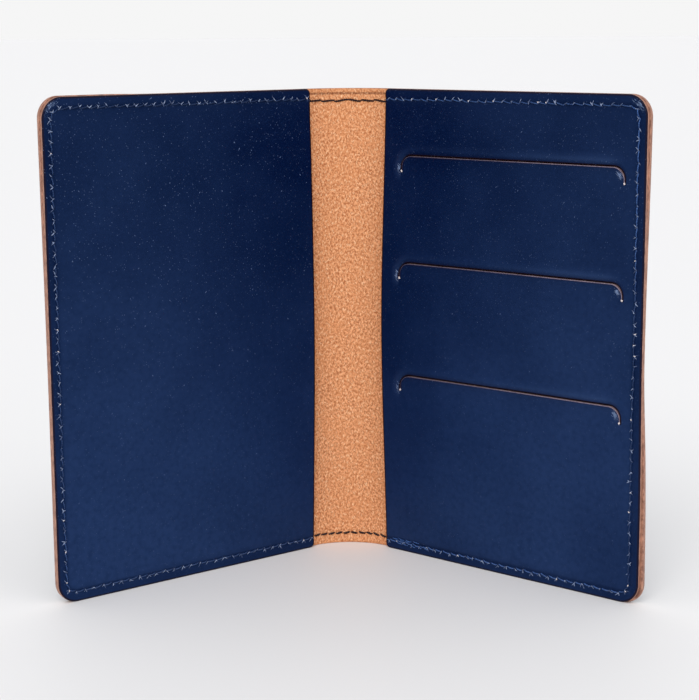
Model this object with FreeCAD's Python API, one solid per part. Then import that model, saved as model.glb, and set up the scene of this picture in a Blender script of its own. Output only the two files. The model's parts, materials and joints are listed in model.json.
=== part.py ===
import FreeCAD, Part
import math
import os

# A passport holder of two layers of leather, standing open on its bottom edges.
# One piece of leather is the front cover, the spine and the back cover. A plain pocket
# panel is sewn inside the front cover and a panel with three card slots inside the back
# cover. One seam runs round the whole edge: needle thread inside, bobbin thread outside.
#
# Frame, in millimetres: +Z up, +X across the covers, +Y from the open side to the spine.
# The origin is the middle of the bottom of the bounding box. The front cover is at -X.
#
# The leather bends along two fold lines, one in each half of the spine's curve. The
# outer leather is therefore three solids, parted at the fold lines.

# Driving dimensions
HEIGHT = 145.0
LEATHER = 1.3                 # thickness of each layer
POCKET_WIDTH = 92.2           # from a pocket's open edge to the cover's outer edge
SPINE_GAP = 22.7              # straight across, between the two pockets' open edges
COVER_ANGLE = 39.3            # how far each cover is turned from lying flat, degrees
CORNER_RADIUS = 6.2           # the covers' four outer corners
MOUTH_CORNER_RADIUS = 1.5     # the pockets' corners beside the spine
FRONT_MOUTH_LIFT = 1.2        # how far the passport pocket's open edge stands off
BACK_MOUTH_LIFT = 2.0         # the same for the card pocket
FOLD_CLEARANCE = 0.05         # between the parted pieces of the outer leather
CLOSED_CLEARANCE = 0.4        # from each cover's inner edge to the middle, when shut

# Card slots: slits with a straight middle and ends that turn down
SLOT_HEIGHTS = (124.9, 92.2, 57.1)
SLOT_START = 6.5              # from the pocket's open edge to the first end
SLOT_END = 85.4
SLOT_RADIUS = 3.6
SLOT_TAIL = 0.9               # straight stretch at the bottom of each turned end
SLOT_WIDTH = 0.45

# Seam
SEAM_INSET = 3.2              # from the top and bottom edges
SIDE_SEAM_INSET = 2.6         # from the outer edge
SEAM_CORNER_RADIUS = 3.1
SEAM_BORDER = 1.5             # flat leather kept on the pocket side of the seam
STITCH_PITCH = 3.05
SPINE_PITCHES = {"top": 4.8, "bottom": 2.7}   # the stitches across the spine
STITCH_SHARE = 0.78           # of the pitch, the length of thread that shows
CORNER_TURNS = (22.5, 67.5)   # the stitches round each corner, degrees
CORNER_STITCH_SHARE = 0.8     # of an ordinary stitch's length
THREAD_RADIUS = 0.3
RUN_MARGIN = 0.4              # from a run's end to an edge of the leather
BACK_TACK_START = 3.0         # the overlapped stitches, from the pocket's open edge
BACK_TACK_END = 17.5
BACK_TACK_RISE = 0.9          # above the seam
BACK_TACK_SLANT = 10.0        # degrees

TOLERANCE = 0.01              # for finding a corner's edge
CUT_MARGIN = 1.0              # by which a cutting solid passes what it cuts

# Worked-out dimensions
ORIGIN = FreeCAD.Vector(0, 0, 0)
UP = FreeCAD.Vector(0, 0, 1)
ACROSS = FreeCAD.Vector(1, 0, 0)
SINE = math.sin(math.radians(COVER_ANGLE))
COSINE = math.cos(math.radians(COVER_ANGLE))
STITCH_LENGTH = STITCH_PITCH * STITCH_SHARE

# The spine is an arc that runs on tangentially into both covers.
POCKET_EDGE_X = SPINE_GAP / 2 + LEATHER * SINE
FLESH_RADIUS = POCKET_EDGE_X / SINE
MIDDLE_RADIUS = FLESH_RADIUS + LEATHER / 2
GRAIN_RADIUS = FLESH_RADIUS + LEATHER
COVER_DEPTH = POCKET_WIDTH * SINE + LEATHER * COSINE
SPINE_DEPTH = FLESH_RADIUS * (1 - COSINE) + LEATHER + THREAD_RADIUS
POCKET_EDGE_Y = (COVER_DEPTH - SPINE_DEPTH) / 2
ARC_CENTRE_Y = POCKET_EDGE_Y - FLESH_RADIUS * COSINE

FOLD_ANGLE = COVER_ANGLE / 2
PARTING = math.degrees(math.asin((LEATHER / 2 + FOLD_CLEARANCE) / MIDDLE_RADIUS))
COVER_START = FOLD_ANGLE + PARTING


def arc_point(radius, angle):
    """The point of the spine's arc at an angle from its middle, in degrees."""
    turn = math.radians(angle)
    x = radius * math.sin(turn)
    y = ARC_CENTRE_Y + radius * math.cos(turn)
    return FreeCAD.Vector(x, y, 0)


def arc_edge(radius, first, last):
    """The edge along the spine's arc from one angle to another."""
    middle = arc_point(radius, (first + last) / 2)
    return Part.Arc(arc_point(radius, first), middle, arc_point(radius, last)).toShape()


def line_edge(first, last):
    return Part.LineSegment(first, last).toShape()


def upright(edges):
    """The solid that stands on a closed outline and is as tall as the holder."""
    outline = Part.Wire(edges)
    return Part.Face(outline).extrude(UP * HEIGHT)


def stood_up(shape, side):
    """Turns a piece drawn flat about the pocket's open edge and puts it on its cover.

    Drawn flat, X runs from the pocket's open edge outwards, Z is up, Y = 0 is where the
    two layers meet, and -Y is the inner side. side is 1 for the back cover and -1 for
    the front cover, which is the mirror image.
    """
    placed = shape.copy()
    placed.rotate(ORIGIN, UP, -COVER_ANGLE)
    placed.translate(FreeCAD.Vector(POCKET_EDGE_X, POCKET_EDGE_Y, 0))
    if side < 0:
        placed = placed.mirror(ORIGIN, ACROSS)
    return placed


def corner_edges(solid, corners):
    """The edges across the leather's thickness at the given corners, (along, up)."""
    found = []
    for edge in solid.Edges:
        for along, up in corners:
            ends = [v.Point for v in edge.Vertexes]
            at_corner = all(math.hypot(p.x - along, p.z - up) < TOLERANCE for p in ends)
            if at_corner and len(ends) == 2:
                found.append(edge)
    return found


def rounded_corners(solid, along, radius):
    """Rounds the top and bottom corners at a distance from the pocket's open edge."""
    corners = [(along, 0), (along, HEIGHT)]
    return solid.makeFillet(radius, corner_edges(solid, corners))


# Outer leather

def outer_cover_spine():
    """The middle of the spine, with a round edge on each fold line."""
    def round_edge(angle):
        outward = 1 if angle > 0 else -1
        nose = arc_point(MIDDLE_RADIUS, angle)
        turn = math.radians(angle)
        nose = nose + FreeCAD.Vector(math.cos(turn), -math.sin(turn), 0) * (outward * LEATHER / 2)
        return Part.Arc(arc_point(FLESH_RADIUS, angle), nose, arc_point(GRAIN_RADIUS, angle)).toShape()

    inner = arc_edge(FLESH_RADIUS, -FOLD_ANGLE, FOLD_ANGLE)
    outer = arc_edge(GRAIN_RADIUS, FOLD_ANGLE, -FOLD_ANGLE)
    return upright([inner, round_edge(FOLD_ANGLE), outer, round_edge(-FOLD_ANGLE)])


def outer_cover(side):
    """One cover of the outer leather, from the fold line to its rounded corners."""
    flat = Part.makeBox(POCKET_WIDTH, LEATHER, HEIGHT)
    flat = rounded_corners(flat, POCKET_WIDTH, CORNER_RADIUS)
    inner = arc_edge(FLESH_RADIUS, COVER_START, COVER_ANGLE)
    tangent_line = line_edge(arc_point(FLESH_RADIUS, COVER_ANGLE), arc_point(GRAIN_RADIUS, COVER_ANGLE))
    outer = arc_edge(GRAIN_RADIUS, COVER_ANGLE, COVER_START)
    fold_line = line_edge(arc_point(GRAIN_RADIUS, COVER_START), arc_point(FLESH_RADIUS, COVER_START))
    curve = upright([inner, tangent_line, outer, fold_line])
    if side < 0:
        curve = curve.mirror(ORIGIN, ACROSS)
    return stood_up(flat, side).fuse(curve).removeSplitter()


# Pocket panels

def panel_section(along, lift):
    """The outline of a pocket panel's section, bowed off the cover by the lift."""
    low = SEAM_INSET + SEAM_BORDER
    high = HEIGHT - low

    def point(up, out):
        return FreeCAD.Vector(along, -out, up)

    def bowed(first, last, out):
        if lift == 0:
            return line_edge(point(first, out), point(last, out))
        crown = point((first + last) / 2, out + lift)
        return Part.Arc(point(first, out), crown, point(last, out)).toShape()

    return Part.Wire([
        line_edge(point(0, 0), point(low, 0)),
        bowed(low, high, 0),
        line_edge(point(high, 0), point(HEIGHT, 0)),
        line_edge(point(HEIGHT, 0), point(HEIGHT, LEATHER)),
        line_edge(point(HEIGHT, LEATHER), point(high, LEATHER)),
        bowed(high, low, LEATHER),
        line_edge(point(low, LEATHER), point(0, LEATHER)),
        line_edge(point(0, LEATHER), point(0, 0)),
    ])


def pocket_panel(lift):
    """A pocket panel drawn flat: bowed at its open edge, flat from the side seam on."""
    flat_from = POCKET_WIDTH - SIDE_SEAM_INSET - SEAM_BORDER
    sections = [
        panel_section(0, lift),
        panel_section(flat_from, 0),
        panel_section(POCKET_WIDTH, 0),
    ]
    panel = Part.makeLoft(sections, True, True)
    depth = LEATHER + lift + CUT_MARGIN
    block = Part.makeBox(POCKET_WIDTH, depth, HEIGHT, FreeCAD.Vector(0, -depth, 0))
    block = rounded_corners(block, 0, MOUTH_CORNER_RADIUS)
    block = rounded_corners(block, POCKET_WIDTH, CORNER_RADIUS)
    return panel.common(block)


def card_slot(height):
    """The slit of one card slot, as a solid that cuts through the panel."""
    def turned_end(end, inward, radius):
        centre_x = end + inward * SLOT_RADIUS
        centre_z = height - SLOT_RADIUS
        slope = math.sqrt(0.5) * radius
        low = FreeCAD.Vector(centre_x - inward * radius, 0, centre_z)
        middle = FreeCAD.Vector(centre_x - inward * slope, 0, centre_z + slope)
        high = FreeCAD.Vector(centre_x, 0, centre_z + radius)
        tail = FreeCAD.Vector(low.x, 0, centre_z - SLOT_TAIL)
        return tail, low, middle, high

    def side_edges(radius):
        tail_a, low_a, middle_a, high_a = turned_end(SLOT_START, 1, radius)
        tail_b, low_b, middle_b, high_b = turned_end(SLOT_END, -1, radius)
        edges = [
            line_edge(tail_a, low_a),
            Part.Arc(low_a, middle_a, high_a).toShape(),
            line_edge(high_a, high_b),
            Part.Arc(high_b, middle_b, low_b).toShape(),
            line_edge(low_b, tail_b),
        ]
        return edges, tail_a, tail_b

    outside, outer_a, outer_b = side_edges(SLOT_RADIUS + SLOT_WIDTH / 2)
    inside, inner_a, inner_b = side_edges(SLOT_RADIUS - SLOT_WIDTH / 2)
    ends = [line_edge(outer_a, inner_a), line_edge(outer_b, inner_b)]
    outline = Part.Wire(Part.__sortEdges__(outside + inside + ends))
    reach = LEATHER + BACK_MOUTH_LIFT + CUT_MARGIN
    return Part.Face(outline).extrude(FreeCAD.Vector(0, -reach, 0))


def passport_pocket():
    """The plain pocket that a passport's cover slides into."""
    return stood_up(pocket_panel(FRONT_MOUTH_LIFT), -1)


def card_pocket():
    """The pocket with three card slots, one above the other."""
    panel = pocket_panel(BACK_MOUTH_LIFT)
    for height in SLOT_HEIGHTS:
        panel = panel.cut(card_slot(height))
    return stood_up(panel, 1)


# Threads

def stitch(length, face):
    """A half-round length of thread along X, lying on Y = 0. face is the side it lies on."""
    half = length / 2
    low = FreeCAD.Vector(-half, 0, -THREAD_RADIUS)
    crown = FreeCAD.Vector(-half, face * THREAD_RADIUS, 0)
    high = FreeCAD.Vector(-half, 0, THREAD_RADIUS)
    outline = Part.Wire([Part.Arc(low, crown, high).toShape(), line_edge(high, low)])
    return Part.Face(outline).extrude(ACROSS * length)


def flat_stitch(along, up, slant, face, length=STITCH_LENGTH):
    """A stitch on a flat cover, drawn flat. face is -1 for inside and 1 for outside."""
    placed = stitch(length, face)
    placed.rotate(ORIGIN, FreeCAD.Vector(0, -1, 0), slant)
    placed.translate(FreeCAD.Vector(along, face * LEATHER, up))
    return placed


def arc_stitch(angle, up, face, length):
    """A stitch across the spine's curve, at an angle from the spine's middle."""
    placed = stitch(length, face)
    radius = GRAIN_RADIUS
    if face < 0:
        radius = math.sqrt(FLESH_RADIUS ** 2 - (length / 2) ** 2)
    placed.rotate(ORIGIN, UP, -angle)
    placed.translate(arc_point(radius, angle) + UP * up)
    return placed


def spread(first, last, pitch):
    """The middles of the stitches that fill a run, as near to the pitch as they fit."""
    count = max(1, round((last - first) / pitch))
    step = (last - first) / count
    return [first + step * (k + 0.5) for k in range(count)]


def arc_run(first, last, edge, face, side=1):
    """The stitches between two angles of the spine's curve, at its top or bottom edge."""
    angles = spread(first, last, math.degrees(SPINE_PITCHES[edge] / MIDDLE_RADIUS))
    step = math.radians((last - first) / len(angles)) * MIDDLE_RADIUS
    length = STITCH_SHARE * step
    return [arc_stitch(side * angle, SEAM_HEIGHTS[edge], face, length) for angle in angles]


SEAM_HEIGHTS = {"top": HEIGHT - SEAM_INSET, "bottom": SEAM_INSET}
SEAM_SIDE = POCKET_WIDTH - SIDE_SEAM_INSET
SEAM_CORNER = SEAM_SIDE - SEAM_CORNER_RADIUS
FACES = {"needle": -1, "bobbin": 1}


def cover_run(face, edge, side):
    """The stitches along a cover's top or bottom, from its fold line to the corner."""
    up = SEAM_HEIGHTS[edge]
    places = spread(RUN_MARGIN, SEAM_CORNER, STITCH_PITCH)
    flat = [stood_up(flat_stitch(along, up, 0, face), side) for along in places]
    curved = arc_run(COVER_START, COVER_ANGLE, edge, face, side)
    return Part.makeCompound(curved + flat)


def side_run(face, side):
    """The stitches up a cover's outer edge, with those round its two corners."""
    low = SEAM_INSET + SEAM_CORNER_RADIUS
    high = HEIGHT - low
    stitches = [flat_stitch(SEAM_SIDE, up, 90, face) for up in spread(low, high, STITCH_PITCH)]
    length = STITCH_LENGTH * CORNER_STITCH_SHARE
    for turn in CORNER_TURNS:
        along = SEAM_CORNER + SEAM_CORNER_RADIUS * math.cos(math.radians(turn))
        rise = SEAM_CORNER_RADIUS * math.sin(math.radians(turn))
        stitches.append(flat_stitch(along, high + rise, turn - 90, face, length))
        stitches.append(flat_stitch(along, low - rise, 90 - turn, face, length))
    return Part.makeCompound([stood_up(one, side) for one in stitches])


def spine_run(face, edge):
    """The stitches across the middle of the spine, between the two fold lines."""
    reach = FOLD_ANGLE - math.degrees(RUN_MARGIN / MIDDLE_RADIUS)
    return Part.makeCompound(arc_run(-reach, reach, edge, face))


def back_tack():
    """The slanted stitches sewn over the end of the seam, to lock it."""
    up = SEAM_INSET + BACK_TACK_RISE
    places = spread(BACK_TACK_START, BACK_TACK_END, STITCH_PITCH)
    stitches = [flat_stitch(along, up, -BACK_TACK_SLANT, -1) for along in places]
    return Part.makeCompound([stood_up(one, 1) for one in stitches])


def all_pieces():
    """Every piece of the holder, by node name."""
    pieces = {
        "outer_cover_spine": outer_cover_spine(),
        "outer_cover_front": outer_cover(-1),
        "outer_cover_back": outer_cover(1),
        "passport_pocket": passport_pocket(),
        "card_pocket": card_pocket(),
        "back_tack": back_tack(),
    }
    for thread, face in FACES.items():
        for edge in SEAM_HEIGHTS:
            pieces[f"{thread}_thread_spine_{edge}"] = spine_run(face, edge)
            pieces[f"{thread}_thread_front_{edge}"] = cover_run(face, edge, -1)
            pieces[f"{thread}_thread_back_{edge}"] = cover_run(face, edge, 1)
        pieces[f"{thread}_thread_front_side"] = side_run(face, -1)
        pieces[f"{thread}_thread_back_side"] = side_run(face, 1)
    return pieces


def closing_angle():
    """How far a cover turns on its fold line until its inner edge is near the middle."""
    fold = arc_point(MIDDLE_RADIUS, FOLD_ANGLE)
    edge_x = POCKET_EDGE_X + POCKET_WIDTH * COSINE - LEATHER * SINE - fold.x
    edge_y = POCKET_EDGE_Y - POCKET_WIDTH * SINE - LEATHER * COSINE - fold.y
    reach = math.hypot(edge_x, edge_y)
    open_angle = math.atan2(edge_x, -edge_y)
    shut_angle = math.asin((CLOSED_CLEARANCE - fold.x) / reach)
    return math.degrees(open_angle - shut_angle)


def main():
    os.makedirs("parts", exist_ok=True)
    for node, shape in all_pieces().items():
        assert shape.isValid(), node
        shape.exportStep(f"parts/{node}.step")
        print(f"{node}: {len(shape.Solids)} solids, {shape.Volume:.2f} mm3")
    fold = arc_point(MIDDLE_RADIUS, FOLD_ANGLE)
    print(f"back cover's fold line: x {fold.x:.4f}, y {fold.y:.4f}")
    print(f"closing angle {closing_angle():.2f}, opening angle {COVER_ANGLE}")
    print(f"pocket's open edge: x {POCKET_EDGE_X:.4f}, y {POCKET_EDGE_Y:.4f}")


main()
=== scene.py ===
import json
import math
from functools import partial
import bmesh
import bpy
import numpy as np
from mathutils import Matrix, Vector
from mathutils.geometry import delaunay_2d_cdt


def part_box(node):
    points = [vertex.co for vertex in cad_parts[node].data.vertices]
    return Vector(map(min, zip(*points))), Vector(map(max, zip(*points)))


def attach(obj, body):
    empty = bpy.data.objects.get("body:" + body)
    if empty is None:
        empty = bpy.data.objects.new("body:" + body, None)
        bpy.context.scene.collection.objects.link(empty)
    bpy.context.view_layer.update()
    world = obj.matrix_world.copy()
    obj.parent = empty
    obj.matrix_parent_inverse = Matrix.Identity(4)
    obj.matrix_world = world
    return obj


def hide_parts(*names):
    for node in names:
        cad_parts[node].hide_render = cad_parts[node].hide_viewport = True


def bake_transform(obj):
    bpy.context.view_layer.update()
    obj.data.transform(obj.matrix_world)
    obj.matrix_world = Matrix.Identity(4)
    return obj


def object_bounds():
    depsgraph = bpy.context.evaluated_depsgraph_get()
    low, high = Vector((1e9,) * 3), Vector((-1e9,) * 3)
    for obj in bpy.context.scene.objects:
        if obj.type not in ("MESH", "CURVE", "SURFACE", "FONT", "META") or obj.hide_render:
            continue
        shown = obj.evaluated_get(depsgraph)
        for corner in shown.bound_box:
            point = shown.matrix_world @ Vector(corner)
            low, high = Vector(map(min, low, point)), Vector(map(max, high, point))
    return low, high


# The looks of a leather passport holder that stands open on its bottom edges.
#
# Every piece of leather or thread is drawn flat and then laid on the holder by place().
# Flat points are (along, up, out) in millimetres: along is measured over the flesh side
# from the middle of the spine to a cover's outer edge, up is the height, and out is 0 on
# the flesh side of the outer leather, more towards the outside and less towards the
# pockets. side is 1 for the back cover, at +X, and -1 for the front cover.

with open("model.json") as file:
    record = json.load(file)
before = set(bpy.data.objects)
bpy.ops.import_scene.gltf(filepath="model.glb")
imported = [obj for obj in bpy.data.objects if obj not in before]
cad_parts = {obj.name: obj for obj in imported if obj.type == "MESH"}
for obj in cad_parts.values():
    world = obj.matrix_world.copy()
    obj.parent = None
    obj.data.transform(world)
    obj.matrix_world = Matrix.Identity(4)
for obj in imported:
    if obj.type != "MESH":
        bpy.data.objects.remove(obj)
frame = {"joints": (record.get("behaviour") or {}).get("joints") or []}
cad_low, cad_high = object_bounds()
MM = 0.001
SIDES = {"front": -1, "back": 1}

# Sizes from the frame
joints = {joint["name"]: joint for joint in frame["joints"]}
fold = Vector(joints["back_cover_fold"]["pos_m"]) / MM
COVER_ANGLE = -math.radians(joints["back_cover_fold"]["range_deg"][0])
SINE = math.sin(COVER_ANGLE)
COSINE = math.cos(COVER_ANGLE)
HEIGHT = cad_high.z / MM
MIDDLE_RADIUS = fold.x / math.sin(COVER_ANGLE / 2)         # of the spine, halfway through
ARC_CENTRE_Y = fold.y - MIDDLE_RADIUS * math.cos(COVER_ANGLE / 2)
GRAIN_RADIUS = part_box("outer_cover_spine")[1].y / MM - ARC_CENTRE_Y
LEATHER = 2 * (GRAIN_RADIUS - MIDDLE_RADIUS)
FLESH_RADIUS = GRAIN_RADIUS - LEATHER
ARC_LENGTH = FLESH_RADIUS * COVER_ANGLE
cover_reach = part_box("outer_cover_back")[1].x / MM
POCKET_WIDTH = (cover_reach - GRAIN_RADIUS * SINE) / COSINE
COVER_WIDTH = ARC_LENGTH + POCKET_WIDTH

# Outlines
CORNER_RADIUS = 6.2
MOUTH_CORNER_RADIUS = 1.5
MOUTH_LIFT = {"front": 1.3, "back": 2.1}
GRAIN_EDGE_RADIUS = 0.45
GLUED_EDGE_RADIUS = 0.12

# Spacing of the points
EDGE_SPACING = 0.42            # along an outline
SLOT_SPACING = 0.8             # along a slot
GRID_SPACING = 1.3             # inside a panel
ARC_SPACING = 0.8              # across the spine
COVER_SPACING = 3.4            # across a cover of the outer leather

# Insets of the rings of points at an edge, and the gap from the last one to the grid
ROUNDED_RINGS = (0, 0.03, 0.12, 0.27, GRAIN_EDGE_RADIUS)
SEAM_RINGS = (0.75, 1.1, 1.45, 1.8, 2.1, 2.4, 2.7, 3.0, 3.3, 3.6, 3.9, 4.2)
RING_INSETS = ROUNDED_RINGS + SEAM_RINGS
DEEPEST = RING_INSETS[-1]
AT_RIM = RING_INSETS[1]        # a face with a smaller inset touches the rim
GRID_CLEARANCE = 0.5

# Card slots
SLOT_HEIGHTS = (124.9, 92.2, 57.1)
SLOT_STARTS = (7.1, 7.15, 7.35)
SLOT_END = 85.4
SLOT_RADIUS = 3.6
SLOT_TAIL = 0.9
SLOT_RINGS = (0.04, 0.07, 0.13, 0.24, 0.4, 0.6, 0.85, 1.15, 1.5, 1.85)
SLOT_EDGE_RADIUS = 0.12

# Seam
SEAM_INSET = 3.2
SPINE_TOP_INSET = 3.7
LOW_SEAM_INSET = {"front": 3.2, "back": 2.75}
SIDE_SEAM_INSET = 2.6
SEAM_CORNER_RADIUS = 3.1
STITCH_PITCH = 3.05
SPINE_PITCHES = {"top": 4.8, "bottom": 2.7}
SEAM_SIDE = COVER_WIDTH - SIDE_SEAM_INSET
TACK_SPAN = (2.6, 16.5)        # from the pocket's mouth
HOLE_WANDER = 0.16
THREAD_RADIUS = 0.21


# Placing

def place(flat, side):
    """The world points, in metres, of flat points in millimetres."""
    along, up, out = np.asarray(flat, float).T
    curved = np.minimum(along, ARC_LENGTH)
    turn = curved / FLESH_RADIUS
    straight = along - curved
    radius = FLESH_RADIUS + out
    x = radius * np.sin(turn) + straight * np.cos(turn)
    y = ARC_CENTRE_Y + radius * np.cos(turn) - straight * np.sin(turn)
    return np.stack([side * x, y, up], 1) * MM


def smooth(value):
    """0 below 0, 1 above 1, and a smooth step between."""
    value = np.clip(value, 0, 1)
    return value * value * (3 - 2 * value)


def bell(value, width):
    """1 at 0, falling away on both sides over about a width."""
    return np.exp(-(value / width) ** 2)


def headings(line):
    """The direction of a line at each of its points."""
    steps = np.gradient(line, axis=0)
    return steps / np.linalg.norm(steps, axis=1)[:, None]


def lengths_along(line):
    """How far along a line each of its points is."""
    steps = np.linalg.norm(np.diff(line, axis=0), axis=1)
    return np.concatenate([[0], np.cumsum(steps)])


def rounding(inset, radius):
    """How far a rounded edge falls below its face at a distance in from the outline."""
    missing = np.clip(radius - inset, 0, radius)
    return radius - np.sqrt(radius ** 2 - missing ** 2)


# Outlines

def corner(centre, radius, start, count):
    """Points round a quarter circle, from an angle in quarter turns."""
    angles = (start + np.linspace(0, 1, count + 1)) * math.pi / 2
    return np.array(centre) + radius * np.stack([np.cos(angles), np.sin(angles)], 1)


def straight(first, last, count):
    """Points from first to last, without the two ends."""
    share = np.linspace(0, 1, count + 1)[1:-1, None]
    return np.array(first) * (1 - share) + np.array(last) * share


def outline(start, end, inset, inner_radius):
    """A sheet's outline moved in by inset, anticlockwise from its bottom inner end.

    With no inner radius the sheet is cut straight at its start, and the outline is open.
    """
    outer = CORNER_RADIUS
    right = end - outer
    top = HEIGHT - outer
    corner_count = round(outer * math.pi / 2 / EDGE_SPACING)
    side_count = round((top - outer) / EDGE_SPACING)
    run_count = round((right - start) / EDGE_SPACING)
    low_corner = corner((right, outer), outer - inset, 3, corner_count)
    high_corner = corner((right, top), outer - inset, 0, corner_count)
    outer_side = straight(low_corner[-1], high_corner[0], side_count)
    if inner_radius is None:
        bottom_start = np.array([[start, inset]])
        top_start = np.array([[start, HEIGHT - inset]])
        closing = []
    else:
        middle = max(inner_radius, inset)
        radius = max(inner_radius - inset, 0)
        mouth_count = round(inner_radius * math.pi / 2 / EDGE_SPACING)
        high_mouth = corner((start + middle, HEIGHT - middle), radius, 1, mouth_count)
        low_mouth = corner((start + middle, middle), radius, 2, mouth_count)
        bottom_start = low_mouth[-1:]
        top_start = high_mouth[:1]
        mouth_side = straight(high_mouth[-1], low_mouth[0], round(HEIGHT / EDGE_SPACING))
        closing = [high_mouth[1:], mouth_side, low_mouth[:-1]]
    bottom = straight(bottom_start[0], low_corner[0], run_count)
    top_run = straight(high_corner[-1], top_start[0], run_count)
    parts = [bottom_start, bottom, low_corner, outer_side, high_corner, top_run, top_start]
    return np.concatenate(parts + closing)


def slot_path(height, start):
    """The middle line of a card slot: points, directions to its upper side, and lengths."""
    radius = SLOT_RADIUS
    centre_up = height - radius
    left = start + radius
    right = SLOT_END - radius
    arc_count = 12
    tail = [(start, centre_up - SLOT_TAIL), (start, centre_up - SLOT_TAIL / 2)]
    left_arc = corner((left, centre_up), radius, 1, arc_count)[::-1]
    middle = straight((left, height), (right, height), round((right - left) / SLOT_SPACING))
    right_arc = corner((right, centre_up), radius, 0, arc_count)[::-1]
    end = [(SLOT_END, centre_up - SLOT_TAIL / 2), (SLOT_END, centre_up - SLOT_TAIL)]
    points = np.concatenate([tail, left_arc, middle, right_arc, end])
    points[:, 0] += ARC_LENGTH
    heading = headings(points)
    upward = np.stack([-heading[:, 1], heading[:, 0]], 1)
    return points, upward, lengths_along(points)


def slot_loop(path, offset):
    """The closed line at a distance round a card slot's middle line."""
    points, upward, _ = path
    tip_count = 8
    angles = np.linspace(0, math.pi, tip_count + 1)[1:-1, None]

    def tip(index, turn):
        across = upward[index]
        outward = turn * np.array([across[1], -across[0]])
        return points[index] + offset * (np.cos(angles) * across * turn + np.sin(angles) * outward)

    above = points + offset * upward
    below = (points - offset * upward)[::-1]
    return np.concatenate([above, tip(-1, 1), below, tip(0, -1)])


SLOT_PATHS = [slot_path(height, start) for height, start in zip(SLOT_HEIGHTS, SLOT_STARTS)]


def near_slot(plan, path):
    """Each flat point's distance from a slot, its side of it (1 above), and its place on it."""
    points, upward, lengths = path
    gap = plan[:, None] - points
    distances = np.linalg.norm(gap, axis=2)
    nearest = distances.argmin(1)
    rows = np.arange(len(plan))
    distance = distances[rows, nearest]
    above = (gap[rows, nearest] * upward[nearest]).sum(1) / np.maximum(distance, 1e-6)
    return distance, above, lengths[nearest]


# Sheets

def bands(start, size, rows, closed=True):
    """Faces between rows of points that follow one another, all of one size."""
    faces = []
    for k in range(rows - 1):
        for i in range(size if closed else size - 1):
            a = start + k * size + i
            b = start + k * size + (i + 1) % size
            faces.append((a, b, b + size, a + size))
    return faces


def fill(points, boundary, holes, grid):
    """Triangles between a boundary and the holes in it, using grid points inside it."""
    everything = np.concatenate([points, grid])
    used = list(boundary) + [i for hole in holes for i in hole]
    used += range(len(points), len(everything))
    local = {index: k for k, index in enumerate(used)}
    corners = [Vector(everything[i]) for i in used]
    loop = [local[i] for i in boundary]
    edges = []
    for hole in holes:
        ids = [local[i] for i in hole]
        edges += list(zip(ids, ids[1:] + ids[:1]))
    only_inside = 1
    tolerance = 1e-6
    _, _, triangles, origins, *_ = delaunay_2d_cdt(corners, edges, [loop], only_inside, tolerance)
    assert all(origins), "the outlines cross each other"
    names = [used[o[0]] for o in origins]
    made = [tuple(names[i] for i in triangle) for triangle in triangles]
    return everything, [ids for ids in made if not any(set(ids) <= set(hole) for hole in holes)]


def sheet_plan(start, end, inner_radius, slots, grid_along):
    """One face of a sheet, flat: its points, faces, insets and the loops at its edges."""
    rings = [outline(start, end, inset, inner_radius) for inset in RING_INSETS]
    count = len(rings[0])
    points = np.concatenate(rings)
    insets = np.repeat(RING_INSETS, count)
    closed = inner_radius is not None
    faces = bands(0, count, len(rings), closed)
    rim = list(range(count))
    boundary = list(range(len(points) - count, len(points)))
    hole_edges = []
    hole_limits = []
    for path in slots:
        loops = [slot_loop(path, offset) for offset in SLOT_RINGS]
        size = len(loops[0])
        base = len(points)
        points = np.concatenate([points] + loops)
        faces += bands(base, size, len(loops))
        hole_edges.append(list(range(base, base + size)))
        hole_limits.append(list(range(len(points) - size, len(points))))
    ups = np.arange(DEEPEST, HEIGHT - DEEPEST, GRID_SPACING)[1:]
    ups = ups[ups < HEIGHT - DEEPEST - GRID_CLEARANCE]
    grid = np.array([(along, up) for along in grid_along for up in ups])
    inside = grid[:, 0] < end - DEEPEST - GRID_CLEARANCE
    if closed:
        inside &= grid[:, 0] > start + DEEPEST + GRID_CLEARANCE
    for path in slots:
        inside &= near_slot(grid, path)[0] > SLOT_RINGS[-1] + GRID_CLEARANCE
    grid = grid[inside]
    if not closed:
        cut = np.array([(start, up) for up in ups[::-1]])
        cut_ids = list(range(len(points), len(points) + len(cut)))
        points = np.concatenate([points, cut])
        boundary += cut_ids
        high = [k * count + count - 1 for k in range(1, len(rings))]
        low = [k * count for k in range(len(rings) - 1, 0, -1)]
        rim += high + cut_ids + low
    points, middle = fill(points, boundary, hole_limits, grid)
    insets = np.concatenate([insets, np.full(len(points) - len(insets), DEEPEST)])
    return points, faces + middle, insets, rim, hole_edges


def seam_distance(plan):
    """Each flat point's distance from the seam's line."""
    across = plan[:, 0] - (SEAM_SIDE - SEAM_CORNER_RADIUS)
    middle = HEIGHT / 2
    rise = np.abs(plan[:, 1] - middle) - (middle - SEAM_INSET - SEAM_CORNER_RADIUS)
    outside = np.hypot(np.maximum(across, 0), np.maximum(rise, 0))
    inside = np.minimum(np.maximum(across, rise), 0)
    return np.abs(outside + inside - SEAM_CORNER_RADIUS)


# Seam

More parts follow.
